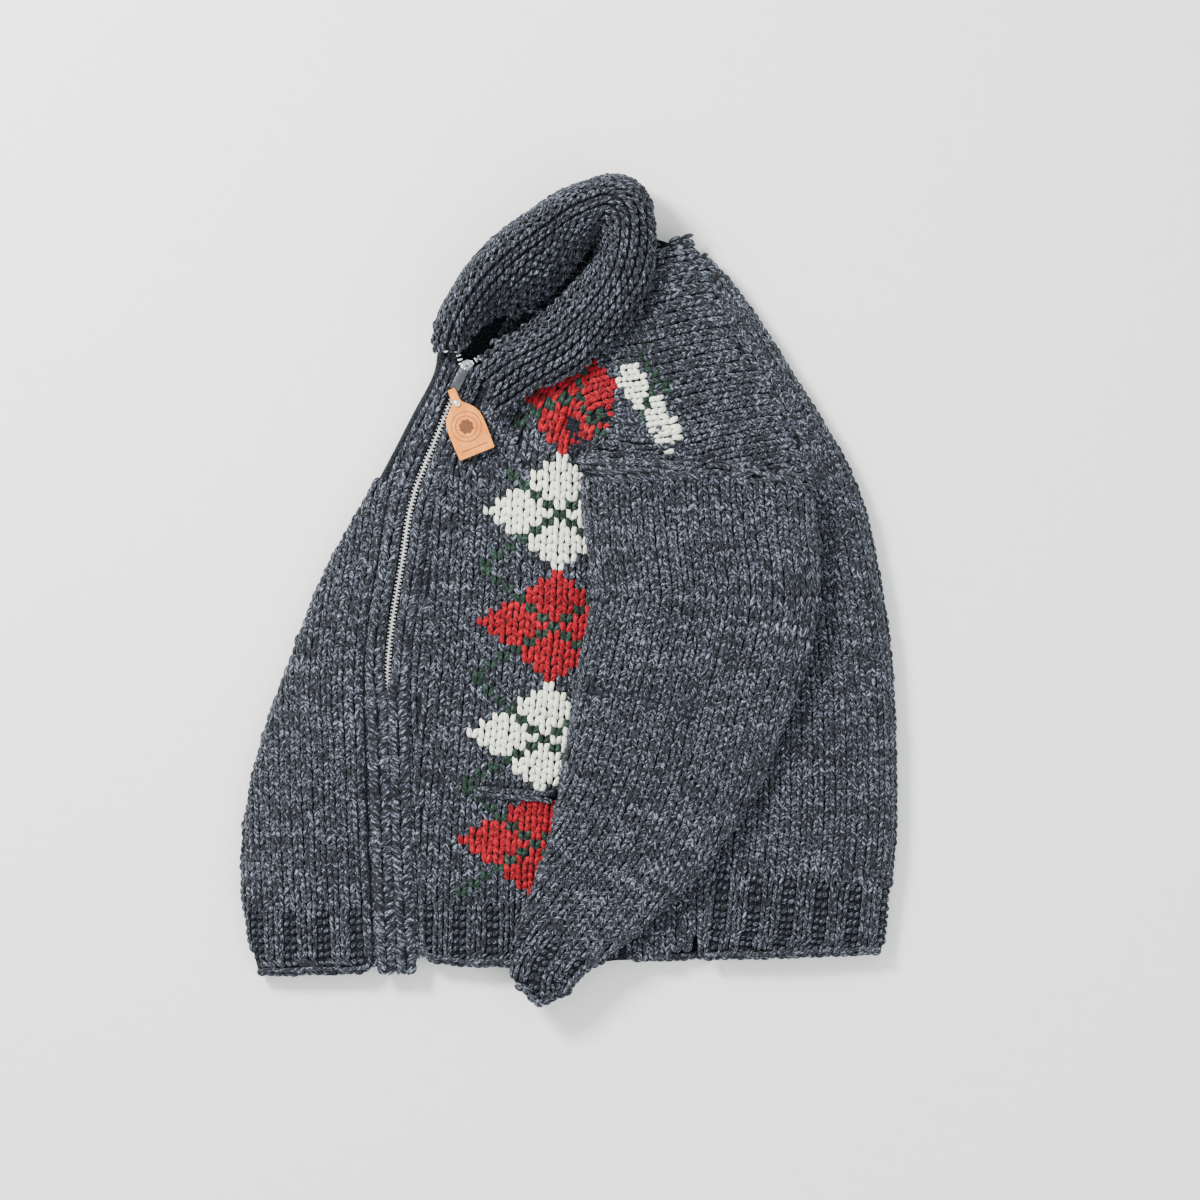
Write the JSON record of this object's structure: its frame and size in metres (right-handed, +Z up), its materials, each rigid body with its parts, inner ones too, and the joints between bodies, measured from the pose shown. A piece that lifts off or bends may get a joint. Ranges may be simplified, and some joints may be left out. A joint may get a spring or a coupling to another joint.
{
  "type": "cowichan cardigan",
  "caption": "Bulky knitted zip cardigan with a shawl collar and an argyle column, laid flat on its back with the left sleeve over the body.",
  "frame": {"origin": "middle of the garment's outline, on the surface it lies on", "axes": "+Z up from the surface, +Y towards the collar, +X towards the wearer's left side"},
  "size_m": [0.591, 0.7472, 0.0751],
  "materials": {
    "wool": "bulky melange knitting, matte",
    "tape": "woven tape, matte",
    "metal": "bright nickel",
    "leather": "tan, semi-matte"
  },
  "bodies": {
    "garment": {"left_front": "wool", "back": "wool", "right_front": "wool", "left_sleeve": "wool", "right_sleeve": "wool", "collar": "wool", "left_band": "wool", "right_band": "wool", "pocket_welt": "wool", "zip_tape": "tape", "zip_chain": "metal", "slider": "metal", "slider_bridge": "metal"},
    "zip_pull": {"pull_tab": "metal", "leather_pull": "leather", "rivet": "metal"}
  },
  "joints": [
    {"name": "pull_tab_hinge", "type": "hinge", "parent": "garment", "child": "zip_pull", "pos_m": [-0.0925, 0.199, 0.0335], "axis": [-0.8838, 0.4679, 0], "range_deg": [0, 90]}
  ]
}
